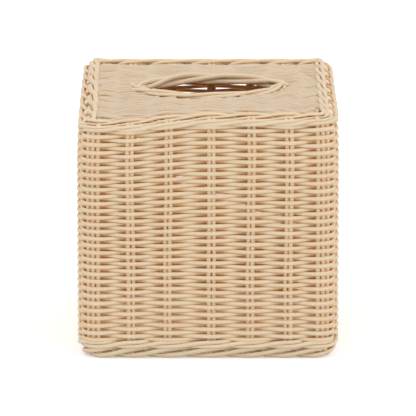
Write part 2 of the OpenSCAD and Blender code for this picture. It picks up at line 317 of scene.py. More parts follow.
@dataclass(frozen=True)
class HandShape:
    """The slightly uneven form of a hand-made cover, which all its strands share."""

    left_sag: float = 3.3
    right_rise: float = 1.2
    front_pull: float = 0.9
    left_pull: float = 1.0
    right_pull: float = 1.5
    back_corner_lift: float = 1.3
    top_narrow: float = 0.011
    foot_narrow: float = 0.034
    # Where the front's stakes stand, and how far each pair leans aside near its foot
    stakes: tuple[float, ...] = (-61.0, -43.8, -21.4, 1.9, 24.6, 45.6, 61.0)
    leans: tuple[float, ...] = (0.0, 1.2, -1.3, 0.0, -1.3, -1.2, 0.0)
    # Where on the cover each unevenness starts and is whole
    climb: Fade = Fade(30.0, 134.0)
    forwards: Fade = Fade(-10.0, 60.0)
    left_half: Fade = Fade(-5.0, 50.0)
    right_end: Fade = Fade(45.0, 72.0)
    left_corner: Fade = Fade(30.0, 60.0)
    right_corner: Fade = Fade(48.0, 66.0)
    rope_level: Fade = Fade(135.5, 140.5)
    front_edge: Fade = Fade(58.0, 67.0)
    back_corners: Fade = Fade(58.0, 70.0)
    back_edge: Fade = Fade(56.0, 68.0)
    back_level: Fade = Fade(115.0, 135.0)
    narrowing: Fade = Fade(112.0, 136.0)
    foot: Fade = Fade(0.0, 8.5)
    uprighting: Fade = Fade(40.0, 125.0)
    front_wall: Fade = Fade(40.0, 60.0)
    # How much of a stake's lean is gone at the top
    upright_share: float = 0.6
    # Waves of the top: from side to side with a slant from front to back, looser to the right
    wide_wave: Wave = Wave(0.48, 7.5, 1.0 / 24.0)
    close_wave: Wave = Wave(0.62, 3.4, -1.0 / 21.0)
    # Where, from front to back, the wide wave's slant is counted from
    wide_wave_start: float = -24.0
    # How much looser the right is, and from which height on the waves are felt
    loosening: Fade = Fade(20.0, 55.0)
    loose_share: float = 0.7
    top_level: Fade = Fade(133.0, 136.0)
    # The waves fade out at the edge rope, and the slot's rim holds them back
    rope_x: Fade = Fade(56.0, 63.0)
    rope_y: Fade = Fade(54.0, 62.0)
    rim_halves: tuple[float, float] = (47.0, 27.0)
    past_rim: Fade = Fade(1.0, 1.6)
    rim_hold: float = 0.85

    def waves(self, x: np.ndarray, y: np.ndarray, z: np.ndarray) -> np.ndarray:
        """Soft waves of the top, which its rows, stakes and rim share.

        Args:
            x: Places from left to right.
            y: Places from front to back.
            z: Heights.

        Returns:
            How far each point is lifted.
        """
        loose = 1.0 + self.loose_share * self.loosening.at(x)
        waves = self.wide_wave.at(x, y - self.wide_wave_start) + self.close_wave.at(x, y)
        inside = (1.0 - self.rope_x.at(np.abs(x))) * (1.0 - self.rope_y.at(np.abs(y)))
        half_x, half_y = self.rim_halves
        free = self.past_rim.at((x / half_x) ** 2 + (y / half_y) ** 2)
        return loose * waves * inside * (1.0 - self.rim_hold * (1.0 - free)) * self.top_level.at(z)

    def bend(self, points: np.ndarray) -> np.ndarray:
        """Moves points of the even cover to where the hand-made one has them.

        Args:
            points: One row of x, y and z for each point.

        Returns:
            The moved points.
        """
        x, y, z = points.T
        sag = self.left_sag * self.left_half.at(-x)
        rise = self.right_rise * self.right_end.at(x)
        pull = self.front_pull + self.left_pull * self.left_corner.at(-x)
        pull += self.right_pull * self.right_corner.at(x)
        pull *= self.rope_level.at(z) * self.front_edge.at(-y)
        perked = self.back_corners.at(np.abs(x)) * self.back_edge.at(y) * self.back_level.at(z)
        pull -= self.back_corner_lift * perked
        drawn = 1.0 - self.top_narrow * self.narrowing.at(z)
        drawn -= self.foot_narrow * (1.0 - self.foot.at(z))
        lean = np.interp(x, self.stakes, self.leans) * (1.0 - self.upright_share * self.uprighting.at(z))
        lean *= self.front_wall.at(-y)
        lifted = z + self.climb.at(z) * self.forwards.at(-y) * (rise - sag) - pull + self.waves(x, y, z)
        return np.column_stack([x * drawn + lean, y * drawn, lifted])


@dataclass
class Strand:
    """One cane or rod, as the middle of its section and its half sizes along its run.

    Its skin's colour carries painted shade, which grows towards its hidden side, from shade_from on over
    SHADE_SPAN of the way round, and along the strand where it lies within the weave.
    """

    SHADE_SPAN: ClassVar[float] = 0.34

    centre: np.ndarray
    thick: np.ndarray
    broad: np.ndarray
    up: np.ndarray
    closed: bool = False
    facets: int = 8
    tone: float = 0.0
    squareness: float = 1.0
    shade: float = 0.8
    shade_from: float = 0.08
    depth: np.ndarray | None = None

    def axes(self) -> tuple[np.ndarray, np.ndarray]:
        """Directions across the strand.

        Returns:
            The directions of its thickness and of its breadth at each ring.
        """
        centre = self.centre
        before, after = 2 * centre[0] - centre[1], 2 * centre[-1] - centre[-2]
        if self.closed:
            before, after = centre[-2], centre[1]
        run = np.vstack([before, centre, after])
        along = run[2:] - run[:-2]
        across = np.cross(along, np.broadcast_to(self.up, along.shape))
        across /= np.linalg.norm(across, axis=1, keepdims=True)
        beside = np.cross(across, along)
        beside /= np.linalg.norm(beside, axis=1, keepdims=True)
        return across, beside

    def length(self) -> float:
        """Length of the strand's middle."""
        return float(np.linalg.norm(np.diff(self.centre, axis=0), axis=1).sum())

    def hidden(self, around: np.ndarray, ring: np.ndarray) -> np.ndarray:
        """Painted shade of the strand's skin, by how far it lies within the weave and is turned to its
        hidden side.

        Args:
            around: Shares of the way round the section, from its hidden side.
            ring: Numbers of the rings.

        Returns:
            Values from 0, in the open, to 1.
        """
        # Painted shade round the section towards the hidden side, and along the strand where it sits within
        # the weave
        turning = Fade(self.shade_from, self.shade_from + self.SHADE_SPAN)
        turned = self.shade * turning.at(np.abs(around - 0.5))
        along = 0.0 if self.depth is None else self.depth[ring]
        return 1.0 - (1.0 - turned) * (1.0 - along)

    def surface(self, ring: np.ndarray, around: np.ndarray) -> np.ndarray:
        """Points of the strand's skin.

        Args:
            ring: Numbers of the rings.
            around: Shares of the way round the section, from its hidden side.

        Returns:
            One row of x, y and z for each point.
        """
        across, beside = self.axes()
        angle = math.pi + FULL_TURN * around
        cos, sin = np.cos(angle), np.sin(angle)
        if self.squareness != 1.0:
            cos = np.sign(cos) * np.abs(cos) ** self.squareness
            sin = np.sign(sin) * np.abs(sin) ** self.squareness
        return (
            self.centre[ring]
            + across[ring] * (self.thick[ring] * cos)[:, None]
            + beside[ring] * (self.broad[ring] * sin)[:, None]
        )


def rounded_run(start: float, stop: float, count: int, cap: float) -> tuple[np.ndarray, np.ndarray]:
    """Places along a strand whose two ends are rounded.

    Args:
        start: First place.
        stop: Last place.
        count: Number of even steps between the rounded ends.
        cap: Length of each rounded end, in the unit of the places.

    Returns:
        The places, and the share of the full radius at each of them.
    """
    even = np.linspace(start + cap, stop - cap, count + 1)
    places = np.concatenate([start + cap * END_RINGS, even, (stop - cap * END_RINGS)[::-1]])
    left = np.clip(np.minimum(places - start, stop - places) / cap, 0.0, 1.0)
    return places, np.sqrt(np.clip(1.0 - (1.0 - left) ** 2, 0.0, 1.0))


@dataclass(frozen=True)
class CaneFinish:
    """Peeled round cane: pale, slightly silky, with long fibres, and a warm saturated painted shade where
    it lies within the weave or turns away.
    """

    name: str
    pale: tuple[float, float, float]
    warm: tuple[float, float, float]
    shade_colour: tuple[float, float, float]
    tone_share: float = 0.5
    roughness: float = 0.48
    specular: float = 0.45
    bump: float = 0.25
    bump_height: float = 0.0002
    translucence: float = 0.28
    light_reach: tuple[float, float, float] = (1.0, 0.45, 0.18)
    light_depth: float = 0.0012

    def material(self, group: bpy.types.NodeTree) -> bpy.types.Material:
        """Builds the material.

        Args:
            group: The shared group of fibres and painted shade.

        Returns:
            The finished material.
        """
        made = bpy.data.materials.new(self.name)
        made.use_nodes = True
        nodes, links = made.node_tree.nodes, made.node_tree.links
        shader = nodes["Principled BSDF"]
        uv = nodes.new("ShaderNodeUVMap")
        uv.uv_map = UV_NAME
        fibre = nodes.new("ShaderNodeGroup")
        fibre.node_tree = group
        # The third colour is the painted shade
        for socket, colour in (("Pale", self.pale), ("Warm", self.warm), ("Shade Colour", self.shade_colour)):
            fibre.inputs[socket].default_value = (*colour, 1.0)
        fibre.inputs["Tone Share"].default_value = self.tone_share
        fibre.inputs["Roughness"].default_value = self.roughness
        bump = nodes.new("ShaderNodeBump")
        bump.inputs["Strength"].default_value = self.bump
        bump.inputs["Distance"].default_value = self.bump_height
        links.new(uv.outputs["UV"], fibre.inputs["Fibre Place"])
        # The strand's tone and its painted shade come in as attributes
        for attribute, socket in ((TONE_NAME, "Tone"), (PAINTED_SHADE_NAME, "Depth")):
            source = nodes.new("ShaderNodeAttribute")
            source.attribute_name = attribute
            links.new(source.outputs["Fac"], fibre.inputs[socket])
        links.new(fibre.outputs["Colour"], shader.inputs["Base Color"])
        links.new(fibre.outputs["Roughness"], shader.inputs["Roughness"])
        links.new(fibre.outputs["Height"], bump.inputs["Height"])
        links.new(bump.outputs["Normal"], shader.inputs["Normal"])
        shader.inputs["Specular IOR Level"].default_value = self.specular
        shader.inputs["Subsurface Weight"].default_value = self.translucence
        shader.inputs["Subsurface Radius"].default_value = self.light_reach
        shader.inputs["Subsurface Scale"].default_value = self.light_depth
        return made


class FibreGroup:
    """Shader group of cane fibres and painted shade that every finish of the cover shares."""

    NAME = "cane_fibres_and_painted_shade"
    # Two inputs carry the painted shade: its share at each point and its colour
    INPUTS = (
        ("Fibre Place", "Vector"), ("Tone", "Float"), ("Depth", "Float"), ("Pale", "Color"),
        ("Warm", "Color"), ("Shade Colour", "Color"), ("Tone Share", "Float"), ("Roughness", "Float"),
    )
    OUTPUTS = (("Colour", "Color"), ("Roughness", "Float"), ("Height", "Float"))
    # Waves in a millimetre along, round and between the fibres, and octaves, of each noise
    STREAK = ((0.035, 1.1, 1.0), 2.0)
    FIBRE = ((0.12, 5.5, 1.0), 3.0)
    PATCH = ((0.06, 0.12, 1.0), 1.0)
    # Factor and offset with which a noise enters the warm tone, the roughness and the height
    STREAK_WARMTH, PATCH_WARMTH, FIBRE_WARMTH = (0.9, -0.42), (0.9, -0.3), (0.35, -0.1)
    FIBRE_ROUGHNESS, STREAK_HEIGHT = (0.16, -0.08), (0.5, 0.0)

    def build(self) -> bpy.types.NodeTree:
        """Builds the group.

        Returns:
            The node tree, which gives a colour, a roughness and a height.
        """
        self.tree = bpy.data.node_groups.new(self.NAME, "ShaderNodeTree")
        for side, sockets in (("INPUT", self.INPUTS), ("OUTPUT", self.OUTPUTS)):
            for name, kind in sockets:
                self.tree.interface.new_socket(name=name, in_out=side, socket_type=f"NodeSocket{kind}")
        given = self.tree.nodes.new("NodeGroupInput").outputs
        result = self.tree.nodes.new("NodeGroupOutput").inputs
        streak, fibre, patch = (
            self.noise(given["Fibre Place"], scale, detail)
            for scale, detail in (self.STREAK, self.FIBRE, self.PATCH)
        )
        warm = self.maths(
            "ADD", self.scaled(streak, *self.STREAK_WARMTH), self.scaled(patch, *self.PATCH_WARMTH)
        )
        warm = self.maths("ADD", warm, self.maths("MULTIPLY", given["Tone"], given["Tone Share"]))
        warm = self.maths("ADD", warm, self.scaled(fibre, *self.FIBRE_WARMTH))
        warm.node.use_clamp = True
        open_colour = self.mix(warm, given["Pale"], given["Warm"])
        # The painted shade is mixed over the fibres' colour
        for name, value in (
            ("Colour", self.mix(given["Depth"], open_colour, given["Shade Colour"])),
            ("Roughness", self.maths("ADD", given["Roughness"], self.scaled(fibre, *self.FIBRE_ROUGHNESS))),
            ("Height", self.maths("ADD", fibre, self.scaled(streak, *self.STREAK_HEIGHT))),
        ):
            self.tree.links.new(value, result[name])
        return self.tree

    def noise(self, place: bpy.types.NodeSocket, scale: tuple[float, float, float],
              detail: float) -> bpy.types.NodeSocket:
        """Adds a noise that is drawn out along the fibres.

        Args:
            place: Where on the fibres, in millimetres.
            scale: Waves in a millimetre along, round and between the fibres.
            detail: Octaves of the noise.

        Returns:
            The noise's value.
        """
        mapping = self.tree.nodes.new("ShaderNodeMapping")
        mapping.vector_type = "POINT"
        mapping.inputs["Scale"].default_value = scale
        texture = self.tree.nodes.new("ShaderNodeTexNoise")
        texture.inputs["Scale"].default_value = 1.0
        texture.inputs["Detail"].default_value = detail
        self.tree.links.new(place, mapping.inputs["Vector"])
        self.tree.links.new(mapping.outputs["Vector"], texture.inputs["Vector"])
        return texture.outputs["Fac"]

    def maths(self, operation: str, first: bpy.types.NodeSocket,
              second: bpy.types.NodeSocket) -> bpy.types.NodeSocket:
        """Adds a sum or product of two values.

        Args:
            operation: Name of the operation in Blender.
            first: First value.
            second: Second value.

        Returns:
            The result.
        """
        node = self.tree.nodes.new("ShaderNodeMath")
        node.operation = operation
        self.tree.links.new(first, node.inputs[0])
        self.tree.links.new(second, node.inputs[1])
        return node.outputs[0]

    def scaled(self, value: bpy.types.NodeSocket, factor: float, offset: float) -> bpy.types.NodeSocket:
        """Adds value times factor plus offset.

        Args:
            value: The value.
            factor: What it is multiplied by.
            offset: What is added.

        Returns:
            The result.
        """
        node = self.tree.nodes.new("ShaderNodeMath")
        node.operation = "MULTIPLY_ADD"
        self.tree.links.new(value, node.inputs[0])
        node.inputs[1].default_value = factor
        node.inputs[2].default_value = offset
        return node.outputs[0]

    def mix(self, share: bpy.types.NodeSocket, first: bpy.types.NodeSocket,
            second: bpy.types.NodeSocket) -> bpy.types.NodeSocket:
        """Adds a mix of two colours.

        Args:
            share: Share of the second colour.
            first: First colour.
            second: Second colour.

        Returns:
            The mixed colour.
        """
        node = self.tree.nodes.new("ShaderNodeMix")
        node.data_type = "RGBA"
        for number, value in zip((MIX_SHARE, *MIX_COLOURS), (share, first, second)):
            self.tree.links.new(value, node.inputs[number])
        return node.outputs[MIX_COLOUR]


class CaneShop:
    """Turns strands into finished pieces that ride on the cover."""

    # Millimetres by which a strand's fibres are moved on, by its tone and its number, so that none match
    TONE_SHIFT, NUMBER_SHIFT = 37.0, 11.0

    def __init__(self) -> None:
        """Builds the finishes."""
        group = FibreGroup().build()
        # Each finish's third colour is painted shade: the warm brown of the weave's hollows and hidden
        # sides
        finishes = {
            Slot.WEAVE: CaneFinish(
                "woven_cane", pale=(0.78, 0.645, 0.46), warm=(0.76, 0.575, 0.375), shade_colour=(0.95, 0.53, 0.17)
            ),
            Slot.TOP: CaneFinish(
                "top_cane", pale=(0.71, 0.585, 0.435), warm=(0.64, 0.49, 0.335), shade_colour=(0.70, 0.43, 0.20)
            ),
            Slot.STAKE: CaneFinish(
                "stake_cane", pale=(0.95, 0.77, 0.555), warm=(0.90, 0.66, 0.425), shade_colour=(0.97, 0.54, 0.17)
            ),
            Slot.ROPE: CaneFinish(
                "rope_cane", pale=(0.79, 0.65, 0.465), warm=(0.75, 0.57, 0.375), shade_colour=(0.82, 0.52, 0.25)
            ),
        }
        self.materials = {slot: finish.material(group) for slot, finish in finishes.items()}

    def piece(self, name: str, strands: list[Strand], slot: Slot, node: str,
              floor: bool = False) -> bpy.types.Object:
        """Makes one piece from its strands and lets it stand for a CAD node.

        Args:
            name: Name of the piece.
            strands: The strands that it is made of.
            slot: Its material slot.
            node: The CAD node that it replaces.
            floor: Whether its underside is worn flat at the table.

        Returns:
            The finished object.
        """
        mesh = self.raw_grids(name, strands)
        self.shape(mesh, strands, floor)
        self.close(mesh)
        mesh.materials.append(self.materials[slot])
        made = bpy.data.objects.new(name, mesh)
        bpy.context.scene.collection.objects.link(made)
        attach(made, "root")
        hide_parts(node)
        LOG.info("%s: %d strands, %d faces", name, len(strands), len(mesh.polygons))
        return made

    @staticmethod
    def raw_grids(name: str, strands: list[Strand]) -> bpy.types.Mesh:
        """Makes one flat grid for each strand, at the height of the strand's number.

        Args:
            name: Name of the mesh.
            strands: The strands.

        Returns:
            The mesh of the grids.
        """
        bm = bmesh.new()
        bm.loops.layers.uv.new(UV_NAME)
        for number, strand in enumerate(strands):
            bmesh.ops.create_grid(
                bm, x_segments=len(strand.centre) - 1, y_segments=strand.facets, size=0.5,
                matrix=Matrix.Translation((0.0, 0.0, float(number))), calc_uvs=True,
            )
        mesh = bpy.data.meshes.new(name)
        bm.to_mesh(mesh)
        bm.free()
        return mesh

    def shape(self, mesh: bpy.types.Mesh, strands: list[Strand], floor: bool) -> None:
        """Rolls each grid into its strand, and writes its tone and its painted shade.

        Args:
            mesh: The flat grids.
            strands: What they become.
            floor: Whether nothing may be under the table.
        """
        count = len(mesh.vertices)
        flat = np.empty(count * 3, np.float32)
        mesh.vertices.foreach_get("co", flat)
        flat = flat.reshape(-1, 3)
        number = np.rint(flat[:, 2]).astype(int)
        placed = np.zeros((count, 3))
        tone, depth = np.zeros(count), np.zeros(count)
        for index, strand in enumerate(strands):
            mine = number == index
            ring = np.rint((flat[mine, 0] + 0.5) * (len(strand.centre) - 1)).astype(int)
            around = flat[mine, 1] + 0.5
            placed[mine] = strand.surface(ring, around)
            tone[mine] = strand.tone
            # Each point's painted shade
            depth[mine] = strand.hidden(around, ring)
        placed = HandShape().bend(placed)
        if floor:
            placed[:, 2] = np.maximum(placed[:, 2], 0.0)
        self.lay_fibres(mesh, strands, number)
        mesh.vertices.foreach_set("co", (placed * MM).astype(np.float32).ravel())
        for name, values in ((TONE_NAME, tone), (PAINTED_SHADE_NAME, depth)):
            attribute = mesh.attributes.new(name, "FLOAT", "POINT")
            attribute.data.foreach_set("value", values.astype(np.float32))

    def lay_fibres(self, mesh: bpy.types.Mesh, strands: list[Strand], number: np.ndarray) -> None:
        """Stretches each grid's UV map to its strand's real length and girth.

        Args:
            mesh: The grids.
            strands: What they become.
            number: Each vertex's strand.
        """
        loop_vertex = np.empty(len(mesh.loops), np.int32)
        mesh.loops.foreach_get("vertex_index", loop_vertex)
        layer = mesh.uv_layers[UV_NAME]
        uv = np.empty(len(mesh.loops) * 2, np.float32)
        layer.uv.foreach_get("vector", uv)
        uv = uv.reshape(-1, 2)
        mine = number[loop_vertex]
        lengths = np.array([strand.length() for strand in strands])
        girths = np.array([math.pi * (strand.thick.max() + strand.broad.max()) for strand in strands])
        tones = np.array([strand.tone for strand in strands])
        shifts = self.TONE_SHIFT * tones + self.NUMBER_SHIFT * np.arange(len(strands))
        uv[:, 0] = uv[:, 0] * lengths[mine] + shifts[mine]
        uv[:, 1] = uv[:, 1] * girths[mine] + shifts[mine]
        layer.uv.foreach_set("vector", uv.ravel())

    @staticmethod
    def close(mesh: bpy.types.Mesh) -> None:
        """Merges the seams and poles and turns the faces outwards.

        Args:
            mesh: The rolled strands.
        """
        bm = bmesh.new()
        bm.from_mesh(mesh)
        bmesh.ops.remove_doubles(bm, verts=bm.verts, dist=MERGE_DISTANCE)
        bmesh.ops.dissolve_degenerate(bm, edges=bm.edges, dist=DISSOLVE_DISTANCE)
        bmesh.ops.recalc_face_normals(bm, faces=bm.faces)
        for face in bm.faces:
            face.smooth = True
        bm.to_mesh(mesh)
        bm.free()


@dataclass
class WallRows:
    """Rows of plain weave round the four walls."""

    shop: CaneShop
    ring: StakeRing
    sizes: CoverSizes = field(default_factory=CoverSizes)
    groups: int = 14
    steps: int = 9
    least_half_h: float = 1.12
    swell: float = 0.13
    hidden_swell: float = 0.48
    corner_swell: float = 0.05
    seed: int = 11
    # Waves round the cover that all rows share: how many, how high, and how a row moves them on
    shared_waves: tuple[tuple[int, float, float], ...] = ((3, 0.22, 0.11), (8, 0.16, -0.17))
    # Each row's own waves, which with the shared ones come in over the first and last rows
    own_waves: tuple[int, ...] = (5, 9, 14, 23)
    own_height: float = 0.035
    calm_rows: int = 4
    # Waves of a row's thickness
    fat_waves: int = 11
    fat_height: float = 0.015
    # The highest rows crowd up to the wale, and the lowest are lifted off theirs
    crowd_from: int = 49
    crowd_rows: int = 8
    crowd: float = 0.7
    low_rows: int = 2
    low_lift: float = 0.35
    # The back wall's high rows are slack and thinner, so light comes through between them
    slack_back: Fade = Fade(45.0, 66.0)
    slack_high: Fade = Fade(96.0, 116.0)
    slack_loss: float = 0.1
    swell_power: float = 1.5
    # Distance from a corner's middle, in stations, over which its swell fades
    corner_fade: Fade = Fade(0.45, 0.9)
    tone_spread: float = 0.35
    # Strength of the painted shade where a row dives behind a stake
    dive_depth: float = 0.55

    def build(self) -> None:
        """Builds the groups of rows from the lowest to the highest."""
        rng = np.random.default_rng(self.seed)
        for group in range(self.groups):
            first = group * self.sizes.row_count // self.groups
            last = (group + 1) * self.sizes.row_count // self.groups
            strands = [self.row(row, rng) for row in range(first, last)]
            self.shop.piece(f"woven_wall_rows_{group + 1}", strands, Slot.WEAVE, f"side_rows_{group + 1}")

    def row(self, row: int, rng: np.random.Generator) -> Strand:
        """One row, all the way round.

        Args:
            row: Number of the row, counted upwards.
            rng: Source of the small irregularities.

        Returns:
            The row's cane.
        """
        sizes = self.sizes
        stations = self.ring.samples(0.0, STATIONS, self.steps)
        sway = self.ring.sway(stations, row)
        turn = FULL_TURN * stations / STATIONS
        own = sum(
            rng.normal(0.0, 1.0) * np.cos(turn * count + rng.uniform(0, FULL_TURN))
            for count in self.own_waves
        )
        common = sum(
            height * np.sin(count * turn + row * shift) for count, height, shift in self.shared_waves
        )
        calm = min(1.0, row / self.calm_rows, (sizes.row_count - 1 - row) / self.calm_rows)
        fat = 1.0 + FAT_SPREAD * rng.normal()
        fat = fat + self.fat_height * np.cos(self.fat_waves * turn + rng.uniform(0, FULL_TURN))
        plan = self.ring.point(stations, sizes.weave_out + sizes.swing * sway)
        z = self.height(row) + (common + self.own_height * own) * calm
        slack = self.slack_back.at(plan[:, 1]) * self.slack_high.at(z)
        centre = np.column_stack([plan, z])
        centre[-1] = centre[0]
        swell = np.abs(sway) ** self.swell_power * np.where(sway > 0, self.swell, self.hidden_swell)
        swell = swell * (1.0 - slack) - self.slack_loss * slack
        place = (stations % PER_SIDE) - (PER_SIDE - 0.5)
        corner = 1.0 - self.corner_fade.at(np.minimum(np.abs(place), np.abs(place + PER_SIDE)))
        return Strand(
            centre=centre,
            thick=sizes.cane_half_t * fat,
            broad=(self.least_half_h + swell + self.corner_swell * corner) * fat,
            up=UPWARDS,
            closed=True,
            tone=float(rng.normal(0.0, self.tone_spread)),
            squareness=WOVEN_SQUARENESS,
            # Painted shade where the row dives behind a stake
            depth=self.dive_depth * DIVE_SHADE.at(-sway),
        )

    def height(self, row: int) -> float:
        """Height of a row's middle before its waves.

        Args:
            row: Number of the row, counted upwards.

        Returns:
            The height.
        """
        sizes = self.sizes
        crowd = self.crowd * min(1.0, max(0.0, (row - self.crowd_from) / self.crowd_rows)) ** 2
        low = self.low_lift * max(0.0, 1 - row / self.low_rows)
        return sizes.rows_from_z + (row + 0.5) * sizes.row_pitch + crowd + low


@dataclass
class Stakes:
    """Rods that carry the weave: the long pairs, the pairs of the side walls and the corner fans."""

    shop: CaneShop
    ring: StakeRing
    rim: "SlotRim"
    sizes: CoverSizes = field(default_factory=CoverSizes)
    cap: float = 0.8
    seed: int = 23
    # How far the legs of the front go in under the rim, and how much further the back's go
    under_rim: float = 1.6
    back_more: float = 1.8
    # How far the side walls' legs stop short of the edge rope's inside
    side_short: float = 0.4
    # Rings of the upright leg and of the bend, and the level leg's step
    upright_rings: int = 34
    bend_rings: int = 7
    level_step: float = 3.0
    # Heights over which an upright leg comes forward, and goes back
    forward_from: Fade = Fade(10.0, 15.0)
    forward_to: Fade = Fade(126.0, 132.0)
    # Where along its run, and how far from the middle, a rod is free to sway
    free_run: Fade = Fade(72.0, 90.0)
    free_y: Fade = Fade(20.0, 40.0)
    sways: tuple[Wave, ...] = (Wave(0.13, 17.0), Wave(0.08, 7.5))
    # Share of the radius at the rings of a rod's end
    END_SHARES: ClassVar[np.ndarray] = np.array([0.0, 0.47, 0.84])
    facets: int = 9
    # Strength of the painted shade on the hidden side of a rod and of a corner rod
    shade: float = 0.55
    corner_shade: float = 0.6
    tone: float = 0.1
    tone_spread: float = 0.22
    corner_rings: int = 30

    def build(self) -> None:
        """Builds every stake."""
        self.rng = np.random.default_rng(self.seed)
        half = self.sizes.rod_step / 2
        for name, place in (("left", 0), ("right", PER_SIDE - 1)):
            x = self.ring.local[0, place]
            self.shop.piece(f"cane_long_stake_{name}", [self.through(x)], Slot.STAKE, f"long_stake_{name}")
        for place in range(1, PER_SIDE - 1):
            strands = []
            for hand in (-half, half):
                x = self.ring.local[0, place] + hand
                stop = self.stop(x)
                strands += [self.bent(0, x, stop), self.bent(2, -x, stop + self.back_more)]
            name = f"long_stake_pair_{place}"
            self.shop.piece(f"cane_{name}", strands, Slot.STAKE, name)
        for name, station, step in (
            ("front_left", 0, -1), ("front_right", PER_SIDE - 1, 1),
            ("back_right", 2 * PER_SIDE, -1), ("back_left", 3 * PER_SIDE - 1, 1),
        ):
            strands = [
                self.corner(station, step * number) for number in range(1, self.sizes.fan_stakes + 1)
            ]
            self.shop.piece(f"cane_corner_stakes_{name}", strands, Slot.STAKE, f"corner_stakes_{name}")
        level_end = self.sizes.edge_inner - self.side_short - self.sizes.stake_out
        for side, name in ((1, "right"), (3, "left")):
            for place in range(PER_SIDE):
                strands = [
                    self.bent(side, self.ring.local[side, place] + hand, level_end)
                    for hand in (-half, half)
                ]
                node = f"{name}_stake_pair_{place + 1}"
                self.shop.piece(f"cane_{node}", strands, Slot.STAKE, node)

    def stop(self, x: float) -> float:
        """Where a long stake of the front ends under the rim, front to back."""
        return -self.rim.clear_y(abs(x)) + self.under_rim

    def profile(self, level_end: float) -> tuple[np.ndarray, np.ndarray]:
        """A bent rod seen from the side.

        Args:
            level_end: Where its level leg ends, from the middle of the cover.

        Returns:
            Distances from the middle of the cover, below 0 at the wall, and heights.
        """
        sizes = self.sizes
        foot, knee = sizes.stake_foot_z, sizes.top_z - sizes.bend_r
        upright = np.linspace(foot + self.cap, knee, self.upright_rings)
        turn = np.linspace(0.0, math.pi / 2, self.bend_rings)[1:]
        level_rings = max(2, int((level_end + sizes.stake_out) / self.level_step))
        level = np.linspace(sizes.bend_r - sizes.stake_out, level_end - self.cap, level_rings)[1:]
        near = self.cap * END_RINGS
        leg = np.concatenate([foot + near, upright])
        forward = sizes.stake_forward * (self.forward_from.at(leg) - self.forward_to.at(leg))
        bend = sizes.bend_r - sizes.stake_out - sizes.bend_r * np.cos(turn)
        y = np.concatenate([-sizes.stake_out - forward, bend, level, (level_end - near)[::-1]])
        flat = np.full(len(level) + len(near), sizes.top_z)
        z = np.concatenate([leg, knee + sizes.bend_r * np.sin(turn), flat])
        return y, z

    def sway(self, z: np.ndarray, y: np.ndarray) -> np.ndarray:
        """Small sideways bends of a rod along its run.

        Args:
            z: Heights.
            y: Distances from the middle of the cover, below 0 at the wall.

        Returns:
            How far each ring is moved along the wall.
        """
        along = z - y
        phases = self.rng.uniform(0, FULL_TURN, len(self.sways))
        bends = sum(wave.at(along, phase) for wave, phase in zip(self.sways, phases))
        return bends * self.free_run.at(along) * self.free_y.at(-y)

    def rod(self, side: int, x: np.ndarray, y: np.ndarray, z: np.ndarray) -> Strand:
        """A round rod of one wall, with both ends rounded.

        Args:
            side: Number of the wall.
            x: Places along the wall.
            y: Distances from the middle of the cover, below 0 at the wall.
            z: Heights.

        Returns:
            The rod.
        """
        cos, sin = SIDE_COS[side], SIDE_SIN[side]
        centre = np.column_stack([x * cos - y * sin, x * sin + y * cos, z])
        radius = np.full(len(z), self.sizes.stake_r * (1.0 + FAT_SPREAD * self.rng.normal()))
        ends = len(self.END_SHARES)
        radius[:ends] *= self.END_SHARES
        radius[-ends:] *= self.END_SHARES[::-1]
        return self.round_rod(centre, radius, np.array([-cos, -sin, 0.0]), self.shade)

    def round_rod(self, centre: np.ndarray, radius: np.ndarray, up: np.ndarray, shade: float) -> Strand:
        """A round strand in the stakes' tones.

        Args:
            centre: Its middle.
            radius: Its radius at each ring.
            up: The direction that its sides are set out from.
            shade: How strong the painted shade on its hidden side is.

        Returns:
            The strand.
        """
        tone = float(self.rng.normal(self.tone, self.tone_spread))
        return Strand(
            centre=centre, thick=radius, broad=radius, up=up, facets=self.facets, tone=tone, shade=shade
        )

    def bent(self, side: int, x: float, level_end: float) -> Strand:
        """A rod that climbs a wall and bends in over the top."""
        y, z = self.profile(level_end)
        return self.rod(side, x + self.sway(z, y), y, z)

    def through(self, x: float) -> Strand:
        """A rod that climbs the front, crosses the top and goes down the back.

        Args:
            x: Its place from left to right.

        Returns:
            The rod.
        """
        y, z = self.profile(self.cap)
        past_middle = len(END_RINGS) + 1
        y, z = y[:-past_middle], z[:-past_middle]
        return self.rod(
            0, np.full(2 * len(y), x), np.concatenate([y, -y[::-1]]), np.concatenate([z, z[::-1]])
        )

    def corner(self, station: int, steps: int) -> Strand:
        """A short upright rod beside the last stake of the front or back.

        Args:
            station: The last stake's station.
            steps: How many rods further along the ring it stands, below 0 for before the stake.

        Returns:
            The rod.
        """
        sizes = self.sizes
        gap = station if steps > 0 else (station - 1) % STATIONS
        share = steps * sizes.rod_step / self.ring.lengths[gap]
        stations = np.array([(station + share) % STATIONS])
        x, y = self.ring.point(stations, np.full(1, sizes.stake_forward))[0]
        z, shrink = rounded_run(sizes.stake_foot_z, sizes.corner_stake_top_z, self.corner_rings, self.cap)
        centre = np.column_stack([np.full(len(z), x), np.full(len(z), y), z])
        up = np.array([math.copysign(1.0, y), 0.0, 0.0])
        return self.round_rod(centre, shrink * sizes.stake_r, up, self.corner_shade)


